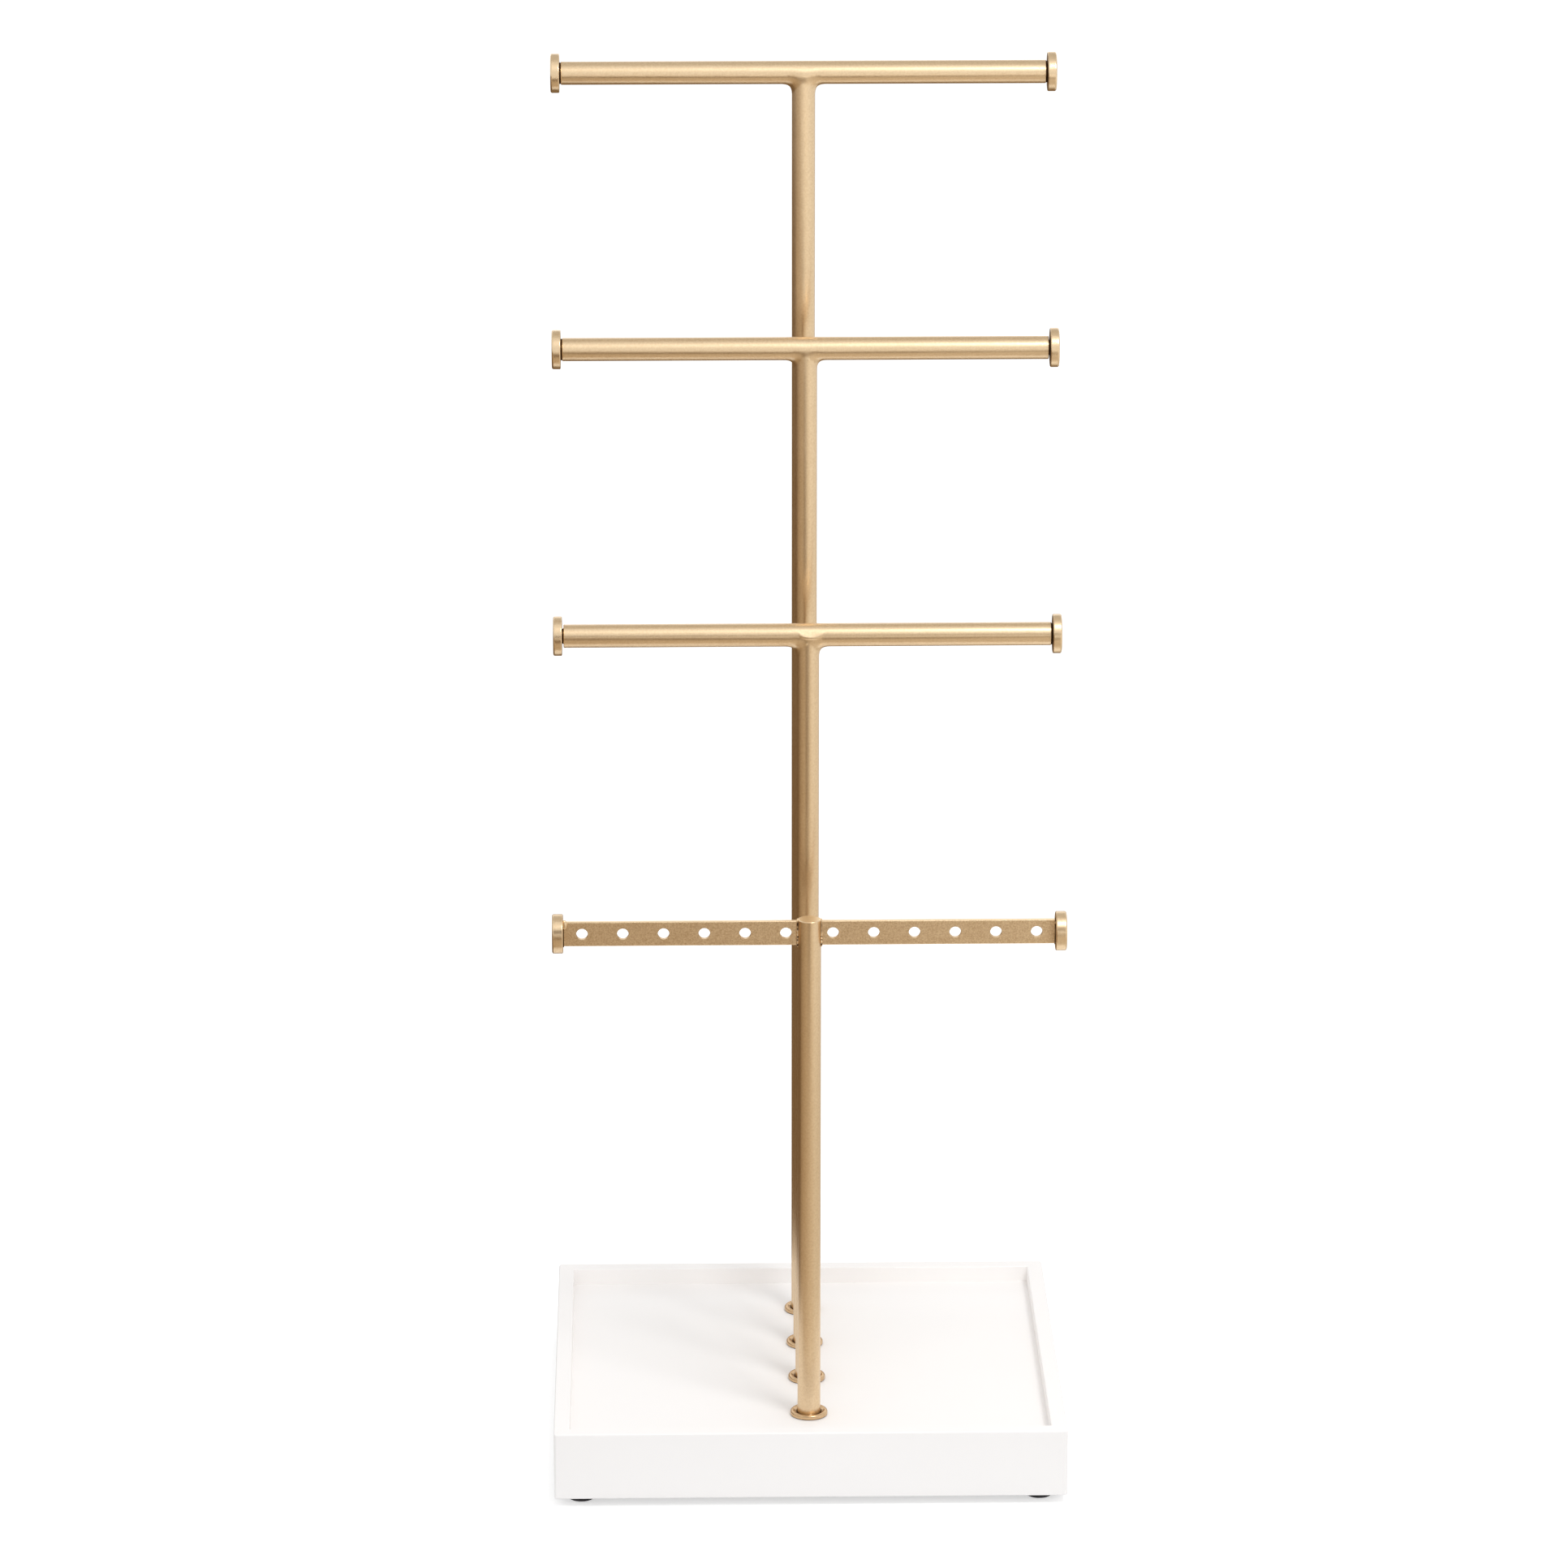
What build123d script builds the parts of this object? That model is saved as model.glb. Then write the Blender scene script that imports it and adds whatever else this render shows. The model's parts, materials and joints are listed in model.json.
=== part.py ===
from build123d import *
import os

# Jewellery tree. Four T-shaped posts stand in a row, front to back, on a shallow lacquered tray.
# Millimetres, +Z up. The origin is under the middle of the tray, on the surface that the feet stand on.
# The front faces -Y. The bars run along X, and each T turns about its own post.

# Tray: four mitred rails glued round a thick floor panel.
tray_width = 200.0
tray_depth = 185.0
tray_height = 27.0
rail_thickness = 6.3
recess_depth = 6.7
corner_round = 1.2
edge_round = 0.5

# Rubber feet, stuck under the corners of the tray.
foot_top_diameter = 11.0
foot_tread_diameter = 10.4
foot_height = 3.5
foot_round = 0.6
foot_side_inset = 10.5
foot_end_inset = 10.7

# Posts and round bars, cut from one size of rod and tube and joined by a ground weld.
rod_diameter = 9.0
bar_wall = 1.5
bar_end_round = 0.3
weld_radius = 3.0
post_pitch = 37.5
bar_span = 196.2

# Heights of the bars' middle lines above the tray's floor, front to back.
earring_height = 199.5
lower_height = 308.0
middle_height = 412.5
upper_height = 513.5

# Flat drilled bar of the front post: two half strips, welded to the post's sides below its top.
strip_height = 9.8
strip_thickness = 2.0
strip_span = 198.2
strip_edge_round = 0.5
strip_weld_radius = 0.8
post_rise = 0.5
post_top_round = 0.4
hole_diameter = 4.5
hole_pitch = 15.7
first_hole = 9.1
end_land = 6.5
tack_diameter = 1.8
tack_length = 0.35

# Disc caps on the ends of the bars. A round bar's cap has a plug, which holds it a little off the tube.
cap_diameter = 15.2
cap_thickness = 3.4
strip_cap_thickness = 4.2
cap_face_round = 0.7
cap_back_round = 0.4
neck_length = 0.6
plug_depth = 8.0
glue_gap = 0.02

# Flanged collars, dished on top, which line the sockets that the posts stand in.
collar_width = 2.8
collar_height = 1.9
collar_crest_inset = 1.2
collar_dish_depth = 1.0
collar_outer_round = 0.9
collar_crest_round = 0.5
collar_under_round = 0.4
sleeve_wall = 1.0
running_gap = 0.05

# Screws and washers, which hold the posts from under the tray.
screw_diameter = 5.0
screw_length = 16.0
screw_tip_chamfer = 0.6
head_diameter = 9.5
head_height = 2.75
head_round = 1.6
head_recess = 1.25
key_size = 3.0
key_sides = 6
key_depth = 1.5
washer_diameter = 10.0
washer_thickness = 1.0
washer_room = 1.0
screw_gap = 0.25
thread_gap = 0.02
drill_allowance = 3.0
web_thickness = 3.0

# Heights worked out from the sizes above.
underside = foot_height
rim_top = underside + tray_height
floor_top = rim_top - recess_depth
floor_thickness = floor_top - underside
seat_depth = head_recess + head_height + washer_thickness
socket_depth = floor_thickness - seat_depth - web_thickness
post_foot = floor_top - socket_depth
head_top = underside + head_recess + head_height

# Round sizes worked out from the sizes above.
rod_radius = rod_diameter / 2
bar_bore_radius = rod_radius - bar_wall
collar_bore_radius = rod_radius + running_gap
collar_radius = collar_bore_radius + collar_width
sleeve_radius = collar_bore_radius + sleeve_wall
screw_hole_radius = screw_diameter / 2 + screw_gap

# Lengths of the bars between their caps, and the places of the holes along half a flat bar.
tube_length = bar_span - 2 * (cap_thickness + neck_length)
half_strip_length = strip_span / 2 - strip_cap_thickness - tack_length
hole_room = half_strip_length - first_hole - end_land
hole_offsets = [first_hole + step * hole_pitch for step in range(int(hole_room // hole_pitch) + 1)]

tier_heights = {
    "earring": earring_height,
    "lower": lower_height,
    "middle": middle_height,
    "upper": upper_height,
}
front_row = -(len(tier_heights) - 1) / 2 * post_pitch
post_rows = [front_row + place * post_pitch for place in range(len(tier_heights))]
on_top = (Align.CENTER, Align.CENTER, Align.MIN)
hung_below = (Align.CENTER, Align.CENTER, Align.MAX)
along_x = (0, 90, 0)
along_y = (90, 0, 0)
sides = {"left": -1, "right": 1}

os.makedirs("parts", exist_ok=True)

# Floor panel, with a socket for each post above and a counterbore for its screw below.
with BuildPart() as tray_floor:
    with Locations((0, 0, underside)):
        Box(tray_width - 2 * rail_thickness, tray_depth - 2 * rail_thickness, floor_thickness, align=on_top)
    with Locations([(0, row, floor_top) for row in post_rows]):
        CounterBoreHole(screw_hole_radius, sleeve_radius, socket_depth)
    with Locations([(0, row, underside) for row in post_rows]):
        Cylinder(washer_diameter / 2 + washer_room, seat_depth, align=on_top, mode=Mode.SUBTRACT)
tray_floor.part.label = "tray_floor"
export_step(tray_floor.part, "parts/tray_floor.step")

# Rails: each is one side of the rounded frame, cut at its two mitres.
rail_sides = {"front_rail": (0, -1), "back_rail": (0, 1), "left_rail": (-1, 0), "right_rail": (1, 0)}
for rail_name, (out_x, out_y) in rail_sides.items():
    with BuildPart() as rail:
        with BuildSketch(Plane.XY.offset(underside)):
            RectangleRounded(tray_width, tray_depth, corner_round)
            Rectangle(tray_width - 2 * rail_thickness, tray_depth - 2 * rail_thickness, mode=Mode.SUBTRACT)
        extrude(amount=tray_height)
        rim_face = rail.faces().sort_by(Axis.Z)[-1]
        base_face = rail.faces().sort_by(Axis.Z)[0]
        rim_edges = rim_face.outer_wire().edges() + rim_face.inner_wires()[0].edges()
        fillet(rim_edges + base_face.outer_wire().edges(), edge_round)
        for end in (-1, 1):
            end_x = end * abs(out_y)
            end_y = end * abs(out_x)
            corner = ((out_x + end_x) * tray_width / 2, (out_y + end_y) * tray_depth / 2, underside)
            mitre = Plane(origin=corner, z_dir=(out_x - end_x, out_y - end_y, 0))
            split(bisect_by=mitre, keep=Keep.TOP)
    rail.part.label = rail_name
    export_step(rail.part, f"parts/{rail_name}.step")

# Feet: short rubber cones, a little narrower at the tread.
foot_x = tray_width / 2 - foot_side_inset
foot_y = tray_depth / 2 - foot_end_inset
for end_name, place_y in (("front", -foot_y), ("back", foot_y)):
    for side_name, side in sides.items():
        with BuildPart() as foot:
            with Locations((side * foot_x, place_y, 0)):
                Cone(foot_tread_diameter / 2, foot_top_diameter / 2, foot_height, align=on_top)
            fillet(foot.edges().filter_by(GeomType.CIRCLE).sort_by(Axis.Z)[0], foot_round)
        foot_name = f"{end_name}_{side_name}_foot"
        foot.part.label = foot_name
        export_step(foot.part, f"parts/{foot_name}.step")

for (tier, height), row in zip(tier_heights.items(), post_rows):
    bar_axis = floor_top + height
    flat_bar = tier == "earring"
    span = strip_span if flat_bar else bar_span
    disc_thickness = strip_cap_thickness if flat_bar else cap_thickness

    # Post: a solid rod, tapped at its foot. Its top is rounded above a flat bar, or coped to a round one.
    with BuildPart() as post:
        post_top = bar_axis + strip_height / 2 + post_rise if flat_bar else bar_axis
        with Locations((0, row, post_foot)):
            Cylinder(rod_radius, post_top - post_foot, align=on_top)
            tapped_depth = screw_length - washer_thickness - web_thickness + drill_allowance
            Cylinder(screw_diameter / 2 + thread_gap, tapped_depth, align=on_top, mode=Mode.SUBTRACT)
        if flat_bar:
            fillet(post.edges().filter_by(GeomType.CIRCLE).sort_by(Axis.Z)[-1], post_top_round)
        else:
            with Locations((0, row, bar_axis)):
                Cylinder(rod_radius, tube_length, rotation=along_x, mode=Mode.SUBTRACT)
    post.part.label = f"{tier}_post"
    export_step(post.part, f"parts/{tier}_post.step")

    if flat_bar:
        # Half strips: drilled for earring wires, welded to the post and tacked to their caps near the top.
        for side_name, side in sides.items():
            with BuildPart() as half_strip:
                with BuildSketch(Plane.XY.offset(bar_axis - strip_height / 2)) as outline:
                    with Locations((0, row)):
                        outwards = Align.MIN if side > 0 else Align.MAX
                        Rectangle(half_strip_length, strip_thickness, align=(outwards, Align.CENTER))
                        Circle(rod_radius)
                    weld_corners = outline.vertices().group_by(Axis.X)[-2 if side > 0 else 1]
                    fillet(weld_corners, strip_weld_radius)
                extrude(amount=strip_height)
                fillet(half_strip.edges().filter_by(Axis.X), strip_edge_round)
                with Locations([(side * offset, row, bar_axis) for offset in hole_offsets]):
                    Cylinder(hole_diameter / 2, strip_thickness, rotation=along_y, mode=Mode.SUBTRACT)
                tack_axis = bar_axis + (strip_height - tack_diameter) / 2 - strip_edge_round
                with Locations((side * (half_strip_length + tack_length / 2), row, tack_axis)):
                    Cylinder(tack_diameter / 2, tack_length, rotation=along_x)
                add(post.part, mode=Mode.SUBTRACT)
            strip_name = f"{tier}_{side_name}_bar"
            half_strip.part.label = strip_name
            export_step(half_strip.part, f"parts/{strip_name}.step")
    else:
        # Round bar: a tube, with the weld that rolls between it and the post's top.
        with BuildPart() as bar:
            with Locations((0, row, bar_axis)):
                Cylinder(rod_radius, tube_length, rotation=along_x)
                fillet(bar.edges().filter_by(GeomType.CIRCLE), bar_end_round)
                Cylinder(rod_radius, rod_diameter + 2 * weld_radius, align=hung_below)
                fillet(bar.edges().filter_by(GeomType.ELLIPSE), weld_radius)
                Cylinder(bar_bore_radius, tube_length, rotation=along_x, mode=Mode.SUBTRACT)
            add(post.part, mode=Mode.SUBTRACT)
        bar.part.label = f"{tier}_bar"
        export_step(bar.part, f"parts/{tier}_bar.step")

    # End caps: rounded discs, tacked to the flat bar or plugged into the round one.
    for side_name, side in sides.items():
        with BuildPart() as cap:
            with Locations((side * (span - disc_thickness) / 2, row, bar_axis)):
                Cylinder(cap_diameter / 2, disc_thickness, rotation=along_x)
            cap_rims = cap.edges().filter_by(GeomType.CIRCLE).sort_by(Axis.X)
            face_rim, back_rim = (cap_rims[-1], cap_rims[0]) if side > 0 else (cap_rims[0], cap_rims[-1])
            fillet(face_rim, cap_face_round)
            fillet(back_rim, cap_back_round)
            if not flat_bar:
                plug_length = neck_length + plug_depth
                with Locations((side * (span / 2 - disc_thickness - plug_length / 2), row, bar_axis)):
                    Cylinder(bar_bore_radius - glue_gap, plug_length, rotation=along_x)
        cap_name = f"{tier}_{side_name}_cap"
        cap.part.label = cap_name
        export_step(cap.part, f"parts/{cap_name}.step")

    # Collar: a dished ring on the tray's floor and a sleeve in the socket, bored for the post to turn in.
    with BuildPart() as collar:
        with Locations((0, row, floor_top)):
            Cylinder(collar_radius, collar_height, align=on_top)
        outer_rims = collar.edges().filter_by(GeomType.CIRCLE).sort_by(Axis.Z)
        fillet(outer_rims[-1], collar_outer_round)
        fillet(outer_rims[0], collar_under_round)
        with Locations((0, row, floor_top)):
            Cylinder(sleeve_radius, socket_depth, align=hung_below)
            Cylinder(collar_bore_radius, 2 * (socket_depth + collar_height), mode=Mode.SUBTRACT)
        with Locations((0, row, floor_top + collar_height - collar_dish_depth)):
            crest_radius = collar_radius - collar_crest_inset
            Cone(collar_bore_radius, crest_radius, collar_dish_depth, align=on_top, mode=Mode.SUBTRACT)
        fillet(collar.edges().group_by(Axis.Z)[-1].sort_by(SortBy.RADIUS)[0], collar_crest_round)
    collar.part.label = f"{tier}_collar"
    export_step(collar.part, f"parts/{tier}_collar.step")

    # Washer, between the screw's head and the web of the floor panel.
    with BuildPart() as washer:
        with Locations((0, row, head_top)):
            Cylinder(washer_diameter / 2, washer_thickness, align=on_top)
            Cylinder(screw_hole_radius, washer_thickness, align=on_top, mode=Mode.SUBTRACT)
    washer.part.label = f"{tier}_washer"
    export_step(washer.part, f"parts/{tier}_washer.step")

    # Screw: a button head with a hexagon socket, threaded up into the foot of the post.
    with BuildPart() as screw:
        with Locations((0, row, head_top)):
            Cylinder(head_diameter / 2, head_height, align=hung_below)
            Cylinder(screw_diameter / 2, screw_length, align=on_top)
        rims = screw.edges().filter_by(GeomType.CIRCLE).sort_by(Axis.Z)
        fillet(rims[0], head_round)
        chamfer(rims[-1], screw_tip_chamfer)
        with BuildSketch(Plane.XY.offset(head_top - head_height)):
            with Locations((0, row)):
                RegularPolygon(key_size / 2, key_sides, major_radius=False)
        extrude(amount=key_depth, mode=Mode.SUBTRACT)
    screw.part.label = f"{tier}_screw"
    export_step(screw.part, f"parts/{tier}_screw.step")
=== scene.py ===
import json
from math import radians

import bpy
import numpy as np
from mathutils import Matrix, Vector


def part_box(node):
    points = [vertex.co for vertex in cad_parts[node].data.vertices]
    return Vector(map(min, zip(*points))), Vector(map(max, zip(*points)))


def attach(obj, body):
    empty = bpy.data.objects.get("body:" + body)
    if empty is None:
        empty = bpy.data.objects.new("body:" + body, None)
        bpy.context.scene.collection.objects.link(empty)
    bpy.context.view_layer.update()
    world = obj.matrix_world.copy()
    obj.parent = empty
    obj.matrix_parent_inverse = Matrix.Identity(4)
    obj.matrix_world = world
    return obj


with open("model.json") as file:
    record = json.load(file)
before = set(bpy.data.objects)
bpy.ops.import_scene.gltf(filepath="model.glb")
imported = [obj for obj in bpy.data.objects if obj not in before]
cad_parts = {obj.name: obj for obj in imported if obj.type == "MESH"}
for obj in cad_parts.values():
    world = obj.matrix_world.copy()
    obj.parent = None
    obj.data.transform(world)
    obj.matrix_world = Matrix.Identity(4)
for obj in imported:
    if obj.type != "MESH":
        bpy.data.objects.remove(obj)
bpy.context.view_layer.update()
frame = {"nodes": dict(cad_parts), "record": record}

MM = 0.001

# Places on the CAD solids that the finishes and the welds are set by.
post_low, post_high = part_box("earring_post")
POST_RADIUS = (post_high[0] - post_low[0]) / 2
POST_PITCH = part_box("lower_post")[0][1] - post_low[1]
FRONT_POST_Y = post_low[1] + POST_RADIUS
TRAY_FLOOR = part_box("tray_floor")[1][2]
strip_low, strip_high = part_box("earring_right_bar")
STRIP_LEFT_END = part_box("earring_left_bar")[0][0]
STRIP_HALF = 1.0 * MM
BAR_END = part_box("upper_bar")[1][0]
CAP_GAP = 0.6 * MM
CAP_FACE = BAR_END + CAP_GAP


def linear(colour):
    """A colour written as sRGB hex, as linear red, green, blue and alpha."""
    share = np.array([int(colour[i:i + 2], 16) for i in (1, 3, 5)]) / 255
    curve = np.where(share <= 0.04045, share / 12.92, ((share + 0.055) / 1.055) ** 2.4)
    return (*curve.tolist(), 1.0)


def add(tree, kind, sockets, **settings):
    """Add a node with its settings, and give its input sockets numbers, colours or links."""
    node = tree.nodes.new(kind)
    for name, value in settings.items():
        setattr(node, name, value)
    for socket, value in sockets.items():
        if isinstance(value, bpy.types.NodeSocket):
            tree.links.new(value, node.inputs[socket])
        else:
            node.inputs[socket].default_value = value
    return node


def new_material(name):
    """An empty node material, and its tree."""
    material = bpy.data.materials.new(name)
    material.use_nodes = True
    material.node_tree.nodes.clear()
    return material, material.node_tree


def finish_material(tree, shader):
    """Link a shader node to the material's output."""
    add(tree, "ShaderNodeOutputMaterial", {"Surface": shader.outputs[0]})


# The coat's noise stays mostly between the first two. Clouds in it change the roughness a little either way.
NOISE_LOW, NOISE_HIGH = 0.3, 0.7
COAT_CLOUD = 9 * MM
CLOUD_ROUGHNESS = 0.015
# Painted highlight: a paler colour along a top edge, which is also smoother there.
HIGHLIGHT_COLOUR = "#F0D9B4"
HIGHLIGHT_ROUGHNESS = 0.28


def brass_coat(name, roughness, dark, light, grain, grain_depth, top_highlight=None):
    """Satin champagne coat on steel: pale metal with a fine grain.

    A rougher sheet shows more of the grain than a rod. A painted highlight makes the top edge paler than the
    rest, and it is smoother there too, by the share that the last argument gives.
    """
    material, tree = new_material(name)
    place = add(tree, "ShaderNodeTexCoord", {}).outputs["Object"]
    # Flakes are near 0.1 mm across. The grain is drawn at 0.5 mm or more, the finest that shows.
    flake = add(tree, "ShaderNodeTexNoise", {"Vector": place, "Scale": 1 / grain, "Detail": 2.0})
    cloud = add(tree, "ShaderNodeTexNoise", {"Vector": place, "Scale": 1 / COAT_CLOUD, "Detail": 1.0})
    glint = add(tree, "ShaderNodeMapRange", {
        "Value": flake.outputs["Fac"], "From Min": NOISE_LOW, "From Max": NOISE_HIGH})
    colour = add(tree, "ShaderNodeMix", {
        "Factor": glint.outputs[0], "A": linear(dark), "B": linear(light)},
        data_type="RGBA").outputs["Result"]
    rough = add(tree, "ShaderNodeMapRange", {
        "Value": cloud.outputs["Fac"], "From Min": NOISE_LOW, "From Max": NOISE_HIGH,
        "To Min": roughness - CLOUD_ROUGHNESS, "To Max": roughness + CLOUD_ROUGHNESS}).outputs[0]
    bump = add(tree, "ShaderNodeBump", {
        "Height": flake.outputs["Fac"], "Strength": 0.3, "Distance": grain_depth})
    if top_highlight:
        share = top_highlight(tree)
        colour = add(tree, "ShaderNodeMix", {
            "Factor": share, "A": colour, "B": linear(HIGHLIGHT_COLOUR)}, data_type="RGBA").outputs["Result"]
        rough = add(tree, "ShaderNodeMapRange", {
            "Value": share, "To Min": rough, "To Max": HIGHLIGHT_ROUGHNESS}).outputs[0]
    shader = add(tree, "ShaderNodeBsdfPrincipled", {
        "Base Color": colour, "Metallic": 1.0, "Roughness": rough, "Normal": bump.outputs["Normal"]})
    finish_material(tree, shader)
    return material


# How far below a top edge its painted highlight and smoother finish start, and where they are full.
HIGHLIGHT_START, HIGHLIGHT_FULL = 0.12 * MM, 0.02 * MM


def painted_top_highlight(height):
    """A share of painted highlight: one on the top edge at this height, and nothing below it."""
    def share(tree):
        place = add(tree, "ShaderNodeTexCoord", {}).outputs["Object"]
        apart = add(tree, "ShaderNodeSeparateXYZ", {0: place})
        return add(tree, "ShaderNodeMapRange", {
            "Value": apart.outputs["Z"],
            "From Min": height - HIGHLIGHT_START, "From Max": height - HIGHLIGHT_FULL}).outputs[0]
    return share


# Matt brown of painted shade in creases, necks and gaps, and of pits on the welds.
SHADE_AND_PIT_COLOUR = "#4A311C"
SHADE_AND_PIT_ROUGHNESS = 0.6
THIN_COAT_ROUGHNESS = 0.27
THIN_COAT_CLOUD = 1.5 * MM


def coat_with_shade_and_pits(name, dark, light, shade_and_pits):
    """Satin champagne coat that turns to matt brown, for painted shade in creases, necks and gaps, and for
    pits on the welds.

    It is brown by the share that its last argument gives.
    """
    material, tree = new_material(name)
    place = add(tree, "ShaderNodeTexCoord", {}).outputs["Object"]
    cloud = add(tree, "ShaderNodeTexNoise", {"Vector": place, "Scale": 1 / THIN_COAT_CLOUD, "Detail": 3.0})
    tone = add(tree, "ShaderNodeMix", {
        "Factor": cloud.outputs["Fac"], "A": linear(dark), "B": linear(light)}, data_type="RGBA")
    share = shade_and_pits(tree)
    shade = add(tree, "ShaderNodeMix", {
        "Factor": share, "A": tone.outputs["Result"], "B": linear(SHADE_AND_PIT_COLOUR)}, data_type="RGBA")
    gloss = add(tree, "ShaderNodeMapRange", {
        "Value": share, "To Min": THIN_COAT_ROUGHNESS, "To Max": SHADE_AND_PIT_ROUGHNESS})
    shader = add(tree, "ShaderNodeBsdfPrincipled", {
        "Base Color": shade.outputs["Result"], "Metallic": 1.0, "Roughness": gloss.outputs[0]})
    finish_material(tree, shader)
    return material


# A collar's painted shade is full at the first distance, from the post or above the tray, and gone at the
# second.
COLLAR_SHADE = 0.95
CREASE_FULL, CREASE_GONE = 0.1 * MM, 1.0 * MM
EDGE_FULL, EDGE_GONE = 0.1 * MM, 0.5 * MM


def collar_painted_shade(tree):
    """Painted shade: brown in the crease round the post, and along the collar's lower edge on the tray.
    Posts stand one pitch apart.
    """
    place = add(tree, "ShaderNodeTexCoord", {}).outputs["Object"]
    spread = add(tree, "ShaderNodeSeparateXYZ", {0: place})
    along = add(tree, "ShaderNodeMath", {0: spread.outputs["Y"], 1: POST_PITCH}, operation="DIVIDE")
    along = add(tree, "ShaderNodeMath", {0: along.outputs[0]}, operation="FRACT")
    along = add(tree, "ShaderNodeMath", {0: along.outputs[0], 1: 0.5}, operation="SUBTRACT")
    along = add(tree, "ShaderNodeMath", {0: along.outputs[0], 1: POST_PITCH}, operation="MULTIPLY")
    flat = add(tree, "ShaderNodeCombineXYZ", {0: spread.outputs["X"], 1: along.outputs[0]})
    away = add(tree, "ShaderNodeVectorMath", {0: flat.outputs[0]}, operation="LENGTH")
    crease = add(tree, "ShaderNodeMapRange", {
        "Value": away.outputs["Value"],
        "From Min": POST_RADIUS + CREASE_FULL, "From Max": POST_RADIUS + CREASE_GONE,
        "To Min": COLLAR_SHADE, "To Max": 0.0}, interpolation_type="SMOOTHSTEP")
    lower = add(tree, "ShaderNodeMapRange", {
        "Value": spread.outputs["Z"],
        "From Min": TRAY_FLOOR + EDGE_FULL, "From Max": TRAY_FLOOR + EDGE_GONE,
        "To Min": COLLAR_SHADE, "To Max": 0.0}, interpolation_type="SMOOTHSTEP")
    both = add(tree, "ShaderNodeMath", {0: crease.outputs[0], 1: lower.outputs[0]}, operation="MAXIMUM")
    return both.outputs[0]


# A round bar's cap has painted shade that ends between these distances from the face that looks to the bar.
STEP_NEAR, STEP_FAR = 0.02 * MM, 0.06 * MM
LEFT_FACE_SHADE = 0.7


def cap_painted_shade(tree):
    """Painted shade: brown on the neck between a round bar's end and its cap, and thinner on the inner faces
    of the right caps, which look left.
    """
    place = add(tree, "ShaderNodeTexCoord", {}).outputs["Object"]
    spread = add(tree, "ShaderNodeSeparateXYZ", {0: place})
    out = add(tree, "ShaderNodeMath", {0: spread.outputs["X"]}, operation="ABSOLUTE")
    neck = add(tree, "ShaderNodeMapRange", {
        "Value": out.outputs[0], "From Min": CAP_FACE - STEP_FAR, "From Max": CAP_FACE - STEP_NEAR,
        "To Min": 1.0, "To Max": 0.0})
    face = add(tree, "ShaderNodeMapRange", {
        "Value": spread.outputs["X"], "From Min": CAP_FACE + STEP_NEAR, "From Max": CAP_FACE + STEP_FAR,
        "To Min": LEFT_FACE_SHADE, "To Max": 0.0})
    right_cap = add(tree, "ShaderNodeMath", {0: spread.outputs["X"], 1: 0.0}, operation="GREATER_THAN")
    face = add(tree, "ShaderNodeMath", {0: face.outputs[0], 1: right_cap.outputs[0]}, operation="MULTIPLY")
    both = add(tree, "ShaderNodeMath", {0: neck.outputs[0], 1: face.outputs[0]}, operation="MAXIMUM")
    return both.outputs[0]


def pit_and_shade_attribute(tree):
    """Brown where a weld piece says so: its pits, and painted shade in the gaps at the caps."""
    return add(tree, "ShaderNodeAttribute", {}, attribute_name="pit_and_shade_brown").outputs["Fac"]


LACQUER_CLOUD = 30 * MM
LACQUER_PEEL = 1.8 * MM
PEEL_DEPTH = 0.06 * MM


def white_lacquer():
    """Satin white lacquer sprayed on sanded fibreboard: smooth, with a long shallow orange peel."""
    material, tree = new_material("white_satin_lacquer")
    place = add(tree, "ShaderNodeTexCoord", {}).outputs["Object"]
    cloud = add(tree, "ShaderNodeTexNoise", {"Vector": place, "Scale": 1 / LACQUER_CLOUD, "Detail": 3.0})
    tone = add(tree, "ShaderNodeMix", {
        "Factor": cloud.outputs["Fac"], "A": linear("#FAF8F7"), "B": linear("#FCFAF9")}, data_type="RGBA")
    peel = add(tree, "ShaderNodeTexNoise", {"Vector": place, "Scale": 1 / LACQUER_PEEL, "Detail": 2.0})
    gloss = add(tree, "ShaderNodeMapRange", {
        "Value": peel.outputs["Fac"], "To Min": 0.36, "To Max": 0.46})
    bump = add(tree, "ShaderNodeBump", {
        "Height": peel.outputs["Fac"], "Strength": 0.15, "Distance": PEEL_DEPTH})
    shader = add(tree, "ShaderNodeBsdfPrincipled", {
        "Base Color": tone.outputs["Result"], "Roughness": gloss.outputs[0], "IOR": 1.5,
        "Normal": bump.outputs["Normal"]})
    finish_material(tree, shader)
    return material


RUBBER_GRAIN = 0.6 * MM
RUBBER_DEPTH = 0.08 * MM


def black_rubber():
    """Moulded black rubber: matt, with a fine grain from the mould and a little grey dust."""
    material, tree = new_material("black_moulded_rubber")
    place = add(tree, "ShaderNodeTexCoord", {}).outputs["Object"]
    grain = add(tree, "ShaderNodeTexNoise", {"Vector": place, "Scale": 1 / RUBBER_GRAIN, "Detail": 4.0})
    tone = add(tree, "ShaderNodeMix", {
        "Factor": grain.outputs["Fac"], "A": linear("#1C1A1C"), "B": linear("#343034")}, data_type="RGBA")
    gloss = add(tree, "ShaderNodeMapRange", {
        "Value": grain.outputs["Fac"], "To Min": 0.62, "To Max": 0.85})
    bump = add(tree, "ShaderNodeBump", {
        "Height": grain.outputs["Fac"], "Strength": 0.4, "Distance": RUBBER_DEPTH})
    shader = add(tree, "ShaderNodeBsdfPrincipled", {
        "Base Color": tone.outputs["Result"], "Roughness": gloss.outputs[0], "IOR": 1.52,
        "Normal": bump.outputs["Normal"]})
    finish_material(tree, shader)
    return material


ZINC_CLOUD = 2.5 * MM
ZINC_DEPTH = 0.05 * MM


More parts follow.
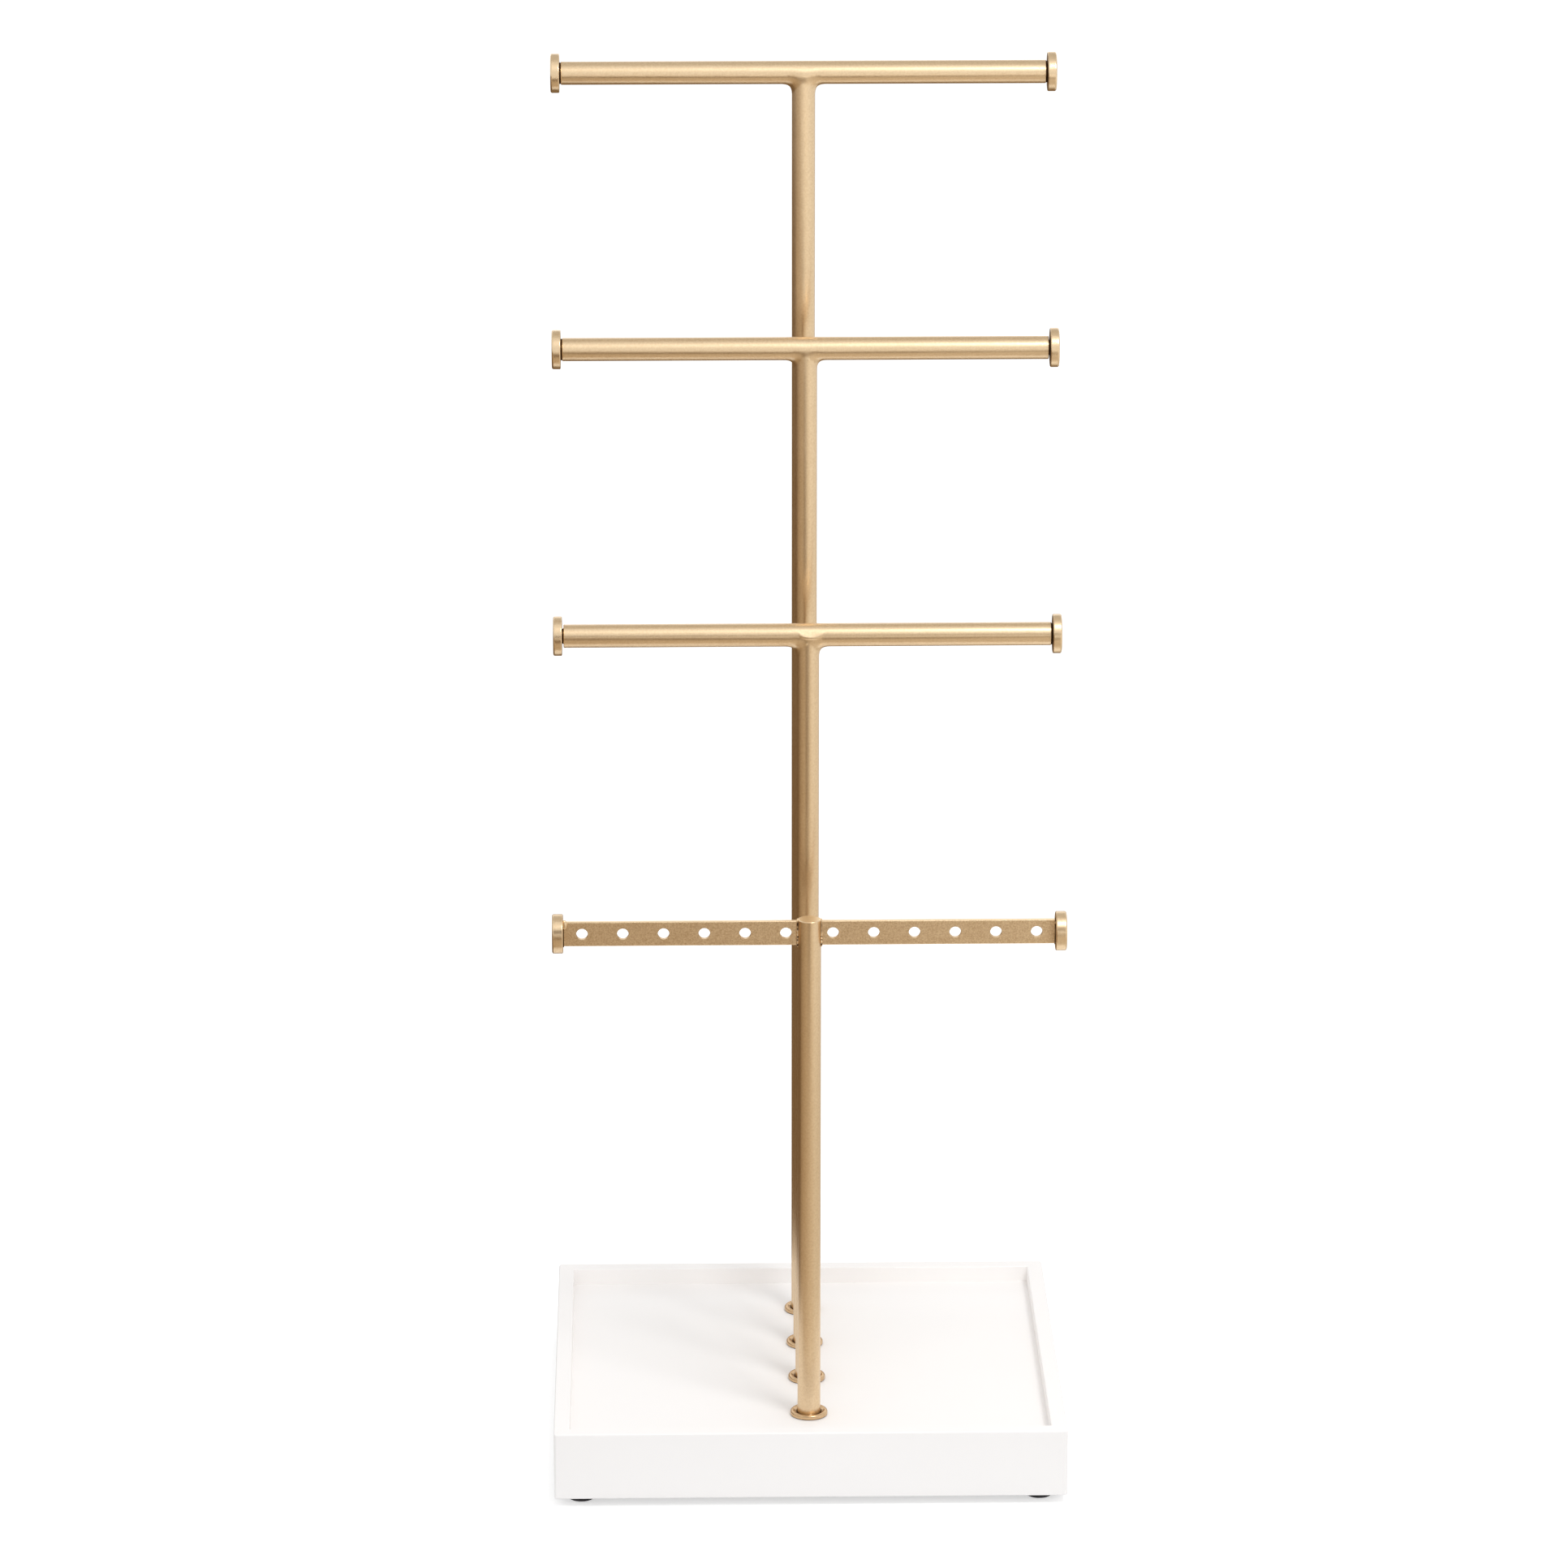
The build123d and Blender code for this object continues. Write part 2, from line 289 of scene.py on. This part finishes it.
def zinc_plate():
    """Bright zinc plate on turned steel: bluish, with a faint cloudy passivation."""
    material, tree = new_material("bright_zinc_plate")
    place = add(tree, "ShaderNodeTexCoord", {}).outputs["Object"]
    cloud = add(tree, "ShaderNodeTexNoise", {"Vector": place, "Scale": 1 / ZINC_CLOUD, "Detail": 4.0})
    tone = add(tree, "ShaderNodeMix", {
        "Factor": cloud.outputs["Fac"], "A": linear("#B9BDC2"), "B": linear("#D9DBDB")}, data_type="RGBA")
    gloss = add(tree, "ShaderNodeMapRange", {
        "Value": cloud.outputs["Fac"], "To Min": 0.22, "To Max": 0.40})
    bump = add(tree, "ShaderNodeBump", {
        "Height": cloud.outputs["Fac"], "Strength": 0.1, "Distance": ZINC_DEPTH})
    shader = add(tree, "ShaderNodeBsdfPrincipled", {
        "Base Color": tone.outputs["Result"], "Metallic": 1.0, "Roughness": gloss.outputs[0],
        "Normal": bump.outputs["Normal"]})
    finish_material(tree, shader)
    return material


def seen_ray(tree):
    """One where a camera, glossy or transmission ray arrives, and nothing where light only bounces."""
    path = add(tree, "ShaderNodeLightPath", {})
    seen = add(tree, "ShaderNodeMath", {
        0: path.outputs["Is Camera Ray"], 1: path.outputs["Is Glossy Ray"]}, operation="MAXIMUM")
    return add(tree, "ShaderNodeMath", {
        0: seen.outputs[0], 1: path.outputs["Is Transmission Ray"]}, operation="MAXIMUM").outputs[0]


PAPER_LIFT = 0.5


def studio_paper():
    """White seamless paper. What the camera or a reflection sees of it is topped up to white."""
    material, tree = new_material("white_studio_paper")
    glow = add(tree, "ShaderNodeMath", {0: seen_ray(tree), 1: PAPER_LIFT}, operation="MULTIPLY")
    white = add(tree, "ShaderNodeEmission", {"Color": linear("#FFFFFF"), "Strength": glow.outputs[0]})
    paper = add(tree, "ShaderNodeBsdfDiffuse", {"Color": linear("#DCDCDC")})
    both = add(tree, "ShaderNodeAddShader", {0: paper.outputs[0], 1: white.outputs[0]})
    finish_material(tree, both)
    return material


def flag_card(name, colour):
    """Matt card of a studio flag."""
    material, tree = new_material(name)
    finish_material(tree, add(tree, "ShaderNodeBsdfDiffuse", {"Color": linear(colour)}))
    return material


def surface(name, points, material, closed_u=False, closed_v=False, pit_and_shade_brown=None):
    """A mesh of triangles through a grid of points, with rows along u and columns along v.

    A closed direction joins up with its start. Points that fall together, as at a pole, become one. A weld
    piece's last argument says how brown it is at each point: pits, and painted shade in the gaps at the
    caps.
    """
    places, first, number = np.unique(
        points.reshape(-1, 3).round(9), axis=0, return_index=True, return_inverse=True)
    number = number.reshape(points.shape[:2])
    if closed_u:
        number = np.concatenate([number, number[:1]])
    if closed_v:
        number = np.concatenate([number, number[:, :1]], axis=1)
    corners = [number[:-1, :-1], number[1:, :-1], number[1:, 1:], number[:-1, 1:]]
    quads = np.stack(corners, axis=-1).reshape(-1, 4)
    faces = np.concatenate([quads[:, [0, 1, 2]], quads[:, [0, 2, 3]]])
    faces = faces[(np.diff(np.sort(faces, axis=1), axis=1) > 0).all(axis=1)]
    mesh = bpy.data.meshes.new(name)
    mesh.from_pydata(places.tolist(), [], faces.tolist())
    mesh.polygons.foreach_set("use_smooth", np.ones(len(faces), bool))
    mesh.materials.append(material)
    if pit_and_shade_brown is not None:
        shares = np.clip(pit_and_shade_brown.ravel()[first], 0, 1)
        mesh.attributes.new("pit_and_shade_brown", "FLOAT", "POINT").data.foreach_set("value", shares)
    piece = bpy.data.objects.new(name, mesh)
    bpy.context.scene.collection.objects.link(piece)
    return piece


# Finishes of the CAD nodes, by the record's material slot. The flat bar's sheet is rougher than the rods.
ROD_TONES = {"dark": "#DFC49E", "light": "#E9D0AC"}
ROD_SATIN = {"roughness": 0.31, "grain": 0.8 * MM, "grain_depth": 0.022 * MM, **ROD_TONES}
SHEET_SATIN = {
    "roughness": 0.42, "grain": 0.5 * MM, "grain_depth": 0.05 * MM, "dark": "#D3B58E", "light": "#EFD8B5"}
finishes = {
    "brass_coat": brass_coat("champagne_coat_on_rod", **ROD_SATIN),
    "white_lacquer": white_lacquer(),
    "black_rubber": black_rubber(),
    "zinc_plate": zinc_plate(),
}
# The flat bar and the front post have a painted highlight along their tops.
sheet_coat = brass_coat("champagne_coat_on_sheet", **SHEET_SATIN, top_highlight=painted_top_highlight(strip_high[2]))
front_coat = brass_coat("champagne_coat_on_front_post", **ROD_SATIN, top_highlight=painted_top_highlight(post_high[2]))
# Painted shade: the collar's tones are darker than the rods', on the same coat.
collar_coat = coat_with_shade_and_pits("champagne_coat_on_collar", "#CBAA82", "#DFC098", collar_painted_shade)
# The caps have painted shade on their necks and on the right caps' inner faces.
cap_coat = coat_with_shade_and_pits("champagne_coat_on_cap", **ROD_TONES, shade_and_pits=cap_painted_shade)
special = {
    "earring_left_bar": sheet_coat, "earring_right_bar": sheet_coat, "earring_post": front_coat,
    "earring_collar": collar_coat}
for tier in ("lower", "middle", "upper"):
    special[f"{tier}_collar"] = collar_coat
    special[f"{tier}_left_cap"] = cap_coat
    special[f"{tier}_right_cap"] = cap_coat
for part in frame["record"]["subparts"]:
    node = frame["nodes"][part["node"]]
    node.data.materials.clear()
    node.data.materials.append(special.get(part["node"], finishes[part["material_slot"]]))


def ease(share):
    """A share from nothing to one, with a soft start and end: three squares of it less two cubes."""
    share = np.clip(share, 0, 1)
    return share ** 2 * (3 - 2 * share)


# Welds of the three round bars, with turns and tilts in degrees. A weld's rays tilt from the lowest up to
# the side tilt along the bar, and up to the front tilt over its front and back.
TUCK = 0.03 * MM
TURN_STEP = 2
TILT_ROWS = 81
LOWEST_TILT, SIDE_TILT, FRONT_TILT = 22, 68, 140
FADE_START, FADE_END = 70, 130
LONGEST_RAY = 8 * POST_RADIUS
HALVINGS = 30
LEDGE_STEP = 16


def rod_weld(tier, side_blend, front_blend, lumps, crown=None):
    """Weld where a post meets the bar above it: two rods of one radius, run together.

    Rays leave the crossing of the two axes, by turn round the post (0 at the right, -90 at the front) and
    tilt from straight down. Each ends where the lesser of the distances to the two rods, less the blend, is
    nothing. The blend is a sixth of its reach, times the cube of how nearly the two distances agree. The
    post ends in a ball inside the bar, and the blend fades out as the ray tilts up over the bar's front.
    Where it adds nothing, the weld is tucked under the rods.

    Lumps are bell-shaped rises along the ray: turn, tilt, the spread of each, and height. A crown is a ledge
    on the bar's front. It leaves the bar along a tangent at its top tilt, and steps back at an oval lower
    edge: middle, half width, top tilt and bottom tilt.
    """
    bar_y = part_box(f"{tier}_post")[0][1] + POST_RADIUS
    bar_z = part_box(f"{tier}_bar")[1][2] - POST_RADIUS
    turn, rise = np.meshgrid(
        np.radians(np.arange(-180, 180, TURN_STEP)), np.linspace(0, 1, TILT_ROWS), indexing="ij")
    lowest = np.radians(LOWEST_TILT)
    highest = np.radians(SIDE_TILT + (FRONT_TILT - SIDE_TILT) * np.abs(np.sin(turn)))
    tilt = lowest + (highest - lowest) * rise
    ray = np.stack([np.sin(tilt) * np.cos(turn), np.sin(tilt) * np.sin(turn), -np.cos(tilt)], axis=-1)
    reach = side_blend * np.cos(turn) ** 2 + front_blend * np.sin(turn) ** 2
    fade = ease((FADE_END - np.degrees(tilt)) / (FADE_END - FADE_START))
    near = np.zeros_like(tilt)
    far = np.full_like(tilt, LONGEST_RAY)
    for halving in range(HALVINGS):
        length = (near + far) / 2
        x, y, z = np.moveaxis(ray * length[..., None], -1, 0)
        to_post = np.hypot(np.hypot(x, y), np.maximum(z, 0)) - POST_RADIUS
        to_bar = np.hypot(y, z) - POST_RADIUS
        agree = np.maximum(1 - np.abs(to_post - to_bar) / reach, 0)
        inside = np.minimum(to_post, to_bar) - fade * reach * agree ** 3 / 6 + TUCK < 0
        near = np.where(inside, length, near)
        far = np.where(inside, far, length)
    for lump_turn, lump_tilt, wide, tall, height in lumps:
        away = np.hypot((np.degrees(turn) - lump_turn) / wide, (np.degrees(tilt) - lump_tilt) / tall)
        near = near + height * np.exp(-away ** 2 / 2)
    if crown:
        middle, half, top, bottom = crown
        across = (near * ray[..., 0] - middle) / half
        edge = top - (top - bottom) * np.clip(1 - across ** 2, 0, 1) ** 0.5
        keep = ease((np.degrees(tilt) - edge) / LEDGE_STEP + 1) * (turn < 0)
        near = near + keep * POST_RADIUS * np.clip(np.radians(top) - tilt, 0, None) ** 2 / 2
    points = ray * near[..., None] + np.array([0, bar_y, bar_z])
    weld = surface(f"{tier}_weld", points, finishes["brass_coat"], closed_u=True)
    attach(weld, f"{tier}_tee")


rod_weld("lower", 5.9 * MM, 1.4 * MM, [
    (-97, 62, 4, 4, 0.14 * MM), (-130, 56, 12, 6, 0.16 * MM), (-48, 60, 14, 7, 0.14 * MM)],
    crown=(1.4 * MM, 4.8 * MM, 118, 94))
rod_weld("middle", 5.3 * MM, 0.9 * MM, [
    (-76, 51, 3, 3, 0.12 * MM), (-40, 49, 4, 3, 0.18 * MM), (-110, 52, 8, 4, 0.06 * MM),
    (-56, 60, 10, 6, 0.10 * MM)])
rod_weld("upper", 5.9 * MM, 2.2 * MM, [(-60, 58, 12, 8, 0.06 * MM), (-120, 60, 12, 8, 0.05 * MM)])

# Welds of the flat bar: beads up the four corners between its halves and the post, and a nugget at one cap.
# A bead stands out past the strip's top and bottom. Pits of the full depth, in millimetres, are all brown.
bead_coat = coat_with_shade_and_pits("champagne_coat_on_weld", "#DBC09A", "#ECD3B0", pit_and_shade_attribute)
BEAD_ABOVE, BEAD_BELOW = 0.4 * MM, 0.6 * MM
BEAD_ROWS, BEAD_SIDES = 121, 36
FULL_PIT = 0.2
END_BLUNTNESS = 12


def bead(name, centre_x, centre_y, wide, deep, lumps, shade_and_pits=0.0):
    """Weld bead up an end of the strip: an oval carried down from the strip's top, with lumps and pits.

    A lump is a bell-shaped rise on the bead: its depth below the strip's top and its turn round the bead,
    with the spread of each, and its height, with lengths in millimetres. Lumps below nothing are pits, and
    brown. The share after the lumps browns the whole bead, as painted shade of a gap at a cap. Turns are in
    degrees, -90 at the front. The oval closes at both ends, by the root of one less a high power of how far
    along it is.
    """
    depth, turn = np.meshgrid(
        np.linspace(-BEAD_ABOVE, strip_high[2] - strip_low[2] + BEAD_BELOW, BEAD_ROWS),
        np.linspace(-180, 180, BEAD_SIDES, endpoint=False), indexing="ij")
    swell = np.zeros_like(depth)
    pits_and_gap_shade = np.full_like(depth, shade_and_pits)
    for lump_depth, lump_turn, tall, around, height in lumps:
        beside = (turn - lump_turn + 180) % 360 - 180
        bell = np.exp(-((depth / MM - lump_depth) / tall) ** 2 / 2 - (beside / around) ** 2 / 2)
        swell = swell + height * MM * bell
        pits_and_gap_shade = pits_and_gap_shade + max(-height, 0.0) / FULL_PIT * bell
    ends = np.clip(1 - np.linspace(-1, 1, BEAD_ROWS) ** END_BLUNTNESS, 0, 1)[:, None] ** 0.5
    x = centre_x + ends * (wide + swell) * np.cos(np.radians(turn))
    y = centre_y + ends * (deep + swell) * np.sin(np.radians(turn))
    points = np.stack([x, y, strip_high[2] - depth], axis=-1)
    piece = surface(name, points, bead_coat, closed_v=True, pit_and_shade_brown=pits_and_gap_shade)
    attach(piece, "earring_tee")


# A corner's bead runs a little out from where the strip's face meets the post.
CORNER_X = (POST_RADIUS ** 2 - STRIP_HALF ** 2) ** 0.5 + 0.2 * MM
CORNER_Y = STRIP_HALF + 0.1 * MM
CORNER_BEAD = 0.5 * MM
for name, side, face, lumps in (
    ("front_left_bead", -1, -1, [
        (1.3, -80, 0.6, 50, -0.30), (3.1, -90, 0.35, 40, -0.22), (4.3, -120, 0.6, 40, 0.12),
        (5.5, -95, 0.35, 40, 0.28), (6.3, -75, 0.25, 50, -0.25), (7.6, -120, 0.3, 40, -0.22),
        (8.4, -80, 0.4, 40, 0.15), (9.6, -90, 0.35, 60, -0.25)]),
    ("front_right_bead", 1, -1, [
        (1.6, -80, 0.9, 50, -0.12), (3.8, -70, 0.6, 40, -0.10), (5.7, -85, 0.22, 35, 0.20),
        (6.3, -80, 0.2, 50, -0.18), (6.9, -85, 0.25, 35, 0.22), (7.6, -80, 0.2, 50, -0.18),
        (8.3, -85, 0.25, 35, 0.20), (9.4, -85, 0.3, 60, -0.25)]),
    ("back_left_bead", -1, 1, [
        (2.1, 100, 0.6, 40, 0.20), (3.4, 80, 0.3, 50, -0.22), (4.8, 110, 0.7, 40, 0.18),
        (7.9, 85, 0.6, 50, 0.22), (9.2, 90, 0.3, 50, -0.22)]),
    ("back_right_bead", 1, 1, [
        (1.6, 80, 0.5, 50, 0.18), (3.1, 95, 0.3, 50, -0.20), (5.2, 70, 0.6, 40, 0.22),
        (6.9, 90, 0.3, 50, -0.22), (8.8, 100, 0.5, 50, 0.18)]),
):
    bead(name, side * CORNER_X, FRONT_POST_Y + face * CORNER_Y, CORNER_BEAD, CORNER_BEAD, lumps)

# Beads between the strip's ends and the caps fill the gap there. They are thin, and brown with the painted
# shade of the gap.
GAP_MIDDLE = 0.17 * MM
GAP_BEAD_WIDE, GAP_BEAD_DEEP = 0.3 * MM, STRIP_HALF - 0.05 * MM
for name, middle, shade_and_pits, lumps in (
    ("left_cap_bead", STRIP_LEFT_END + GAP_MIDDLE, 0.8, [
        (4.6, -90, 0.9, 60, -0.10), (8.6, -90, 1.2, 60, -0.12)]),
    ("right_cap_bead", strip_high[0] - GAP_MIDDLE, 0.7, [
        (1.6, -90, 1.2, 60, -0.10), (5.2, -90, 0.6, 60, 0.05), (8.2, -90, 1.2, 60, -0.12)]),
):
    bead(name, middle, FRONT_POST_Y, GAP_BEAD_WIDE, GAP_BEAD_DEEP, lumps, shade_and_pits)

# Painted shade rings in the gaps at the caps: the radius to the middle of the section, and the section's
# half width and half height.
GAP_SHADE_RADIUS = 3.5 * MM
GAP_SHADE_WIDE, GAP_SHADE_TALL = 0.33 * MM, 0.75 * MM


def gap_shade_ring(tier, side):
    """Painted shade: a dark brown ring in the gap between a round bar's end and its cap, an oval turned
    about the bar's axis.
    """
    bar_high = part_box(f"{tier}_bar")[1]
    turn, section = np.meshgrid(
        np.linspace(2 * np.pi, 0, 72, endpoint=False), np.linspace(0, 2 * np.pi, 16, endpoint=False),
        indexing="ij")
    x = side * (BAR_END + CAP_GAP / 2) + GAP_SHADE_WIDE * np.cos(section)
    away = GAP_SHADE_RADIUS + GAP_SHADE_TALL * np.sin(section)
    y = bar_high[1] - POST_RADIUS + away * np.cos(turn)
    z = bar_high[2] - POST_RADIUS + away * np.sin(turn)
    name = f"{tier}_{'left' if side < 0 else 'right'}_gap_shade"
    points = np.stack([x, y, z], axis=-1)
    piece = surface(name, points, bead_coat, closed_u=True, closed_v=True, pit_and_shade_brown=np.ones_like(x))
    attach(piece, f"{tier}_tee")


# Painted shade rings go in four of the gaps at the caps.
for tier, side in (("upper", -1), ("upper", 1), ("middle", -1), ("lower", 1)):
    gap_shade_ring(tier, side)

DROP_WAVE = 0.05


def drop(name, centre, radii, body, material):
    """A drop: a ball stretched to three radii, with its surface waved a twentieth in and out.

    Three waves go round it, strongest at its middle, and one goes from its foot to its top.
    """
    turn, rise = np.meshgrid(
        np.linspace(0, 2 * np.pi, 32, endpoint=False), np.linspace(0, np.pi, 25), indexing="ij")
    wave = 1 + DROP_WAVE * np.sin(3 * turn + 1) * np.sin(rise) ** 2 + DROP_WAVE * np.sin(2 * rise)
    ball = np.stack([np.sin(rise) * np.cos(turn), np.sin(rise) * np.sin(turn), -np.cos(rise)], axis=-1)
    points = np.array(centre) + np.array(radii) * wave[..., None] * ball
    piece = surface(name, points, material, closed_u=True)
    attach(piece, body)


drop("left_cap_nugget", (STRIP_LEFT_END + 0.6 * MM, FRONT_POST_Y - STRIP_HALF, strip_high[2] - 1.0 * MM),
     (1.05 * MM, 0.9 * MM, 1.9 * MM), "earring_tee", finishes["brass_coat"])
drop("front_collar_drop", (0.5 * MM, FRONT_POST_Y - POST_RADIUS - 0.65 * MM, TRAY_FLOOR + 1.4 * MM),
     (0.75 * MM, 0.5 * MM, 0.45 * MM), "tray", finishes["brass_coat"])


def level_sheet(left, right, front, back, height):
    """The corners of a level rectangle at a height."""
    x, y = np.meshgrid(np.array([left, right]), np.array([front, back]), indexing="ij")
    return np.stack([x, y, np.full_like(x, height)], axis=-1)


# Floor: a flat sheet of paper, large enough to fill the picture from every side.
FLOOR_REACH = 14.0
floor_points = level_sheet(-FLOOR_REACH, FLOOR_REACH, -FLOOR_REACH, FLOOR_REACH, 0.0)
floor = surface("studio_floor", floor_points, studio_paper())


def softbox(name, place, aim, width, height, watts, mirrored=True):
    """A rectangular soft light at a place, turned to a point. A fill light isn't mirrored in the metal."""
    lamp = bpy.data.lights.new(name, "AREA")
    lamp.shape = "RECTANGLE"
    lamp.size = width
    lamp.size_y = height
    lamp.energy = watts
    holder = bpy.data.objects.new(name, lamp)
    bpy.context.scene.collection.objects.link(holder)
    holder.location = place
    holder.visible_glossy = mirrored
    direction = Vector(aim) - Vector(place)
    holder.rotation_euler = direction.to_track_quat("-Z", "Y").to_euler()


softbox("key_softbox", (0.38, -0.50, 1.05), (0.0, 0.0, 0.1), 0.3, 0.3, 3.5)
softbox("front_softbox", (0.15, -0.60, 1.15), (0.0, 0.0, 0.35), 0.6, 0.5, 0.28)
softbox("back_softbox", (0.0, 2.0, 0.80), (0.0, 0.0, 0.30), 2.4, 0.9, 2.4)
softbox("front_fill", (-0.10, -2.30, 1.00), (0.0, 0.0, 0.10), 1.2, 1.2, 5.5, mirrored=False)


def card(name, points, colour):
    """A studio card that shows only in reflections: the camera and the light pass it."""
    sheet = surface(name, points, flag_card(f"{name}_card", colour))
    sheet.visible_camera = False
    sheet.visible_diffuse = False
    sheet.visible_shadow = False


# The bowl that the flags lie in: its inner and outer edge, its height, and how far it clears the floor.
BOWL_NEAR, BOWL_FAR, BOWL_HEIGHT = 0.16, 1.2, 0.4
BOWL_CLEAR = 2 * MM


def flag(name, start, stop, colour, near, far, lift):
    """Part of a bowl round the stand, between two azimuths.

    The bowl rises from its inner edge as distance squared.
    """
    turn, radius = np.meshgrid(
        np.radians(np.linspace(start, stop, 33)), np.linspace(near, far, 17), indexing="ij")
    height = BOWL_CLEAR + lift + BOWL_HEIGHT * ((radius - BOWL_NEAR) / (BOWL_FAR - BOWL_NEAR)) ** 2
    card(name, np.stack([radius * np.sin(turn), -radius * np.cos(turn), height], axis=-1), colour)


# Flags stand low round the tree, dark at its left and pale at its right, with a darker one before it. At the
# right they are paler further out, where the tallest post mirrors them. A last one hangs above and behind.
# They shade the rods' sides and tops. Each lies a step above the one before.
FLAGS = (
    (-150, -82, 0.16, 1.2, "#7A6348"), (-82, -55, 0.16, 1.2, "#AA957B"), (-55, -30, 0.16, 1.2, "#B8A58C"),
    (-30, -8, 0.16, 1.2, "#C4B39C"), (-8, 12, 0.16, 1.2, "#D3C5B2"), (12, 35, 0.16, 0.45, "#D2C7B7"),
    (12, 35, 0.45, 0.85, "#E4DBCD"), (-4, 35, 0.85, 1.2, "#FFFCF6"), (35, 150, 0.16, 0.45, "#DAD3C8"),
    (35, 150, 0.45, 0.85, "#EFEBE5"), (35, 150, 0.85, 1.2, "#FFFEFC"), (150, 210, 0.16, 1.2, "#8A7252"))
FLAG_STEP = 0.2 * MM
for number, (start, stop, near, far, tone) in enumerate(FLAGS):
    flag(f"flag_{number}", start, stop, tone, near, far, lift=number * FLAG_STEP)
flag("front_flag", -16, 11, "#6E573A", near=0.55, far=0.9, lift=5 * MM)
CEILING_HEIGHT = 1.3
card("ceiling_flag", level_sheet(-1.0, 1.0, -0.05, 1.6, CEILING_HEIGHT), "#FFFCF7")

# A shelf hangs before the tree, dark below and pale above. The lowest round bar mirrors its underside, and
# the highest its top.
SHELF_FRONT, SHELF_BACK, SHELF_HEIGHT = -0.60, -0.30, 0.41
for name, left, right, tone, lift in (
    ("left_shelf", -0.25, 0.0, "#6E573A", 0.0),
    ("right_shelf", 0.0, 0.25, "#A8947A", 0.0),
    ("shelf_top", -0.25, 0.25, "#FFFCF7", 2 * MM),
):
    card(name, level_sheet(left, right, SHELF_FRONT, SHELF_BACK, SHELF_HEIGHT + lift), tone)

# World: a studio that is white to the camera and in reflections, and fills the shadows with less.
FILL = 0.80
world = bpy.data.worlds.new("white_studio")
bpy.context.scene.world = world
world.use_nodes = True
studio = world.node_tree
studio.nodes.clear()
level = add(studio, "ShaderNodeMapRange", {"Value": seen_ray(studio), "To Min": FILL, "To Max": 1.0})
room = add(studio, "ShaderNodeBackground", {"Color": linear("#FFFFFF"), "Strength": level.outputs[0]})
add(studio, "ShaderNodeOutputWorld", {"Surface": room.outputs[0]})

# Camera, at the photograph's angle: a long lens, a little above the tree and a little left of its middle.
camera = bpy.data.objects.new("camera", bpy.data.cameras.new("camera"))
bpy.context.scene.collection.objects.link(camera)
camera.location = (-0.0583, -2.4914, 1.0205)
camera.rotation_euler = (radians(73.155), 0.0, radians(-1.141))
camera.data.sensor_width = 36.0
camera.data.lens = 152.68
bpy.context.scene.camera = camera
bpy.context.scene.view_settings.view_transform = "Standard"
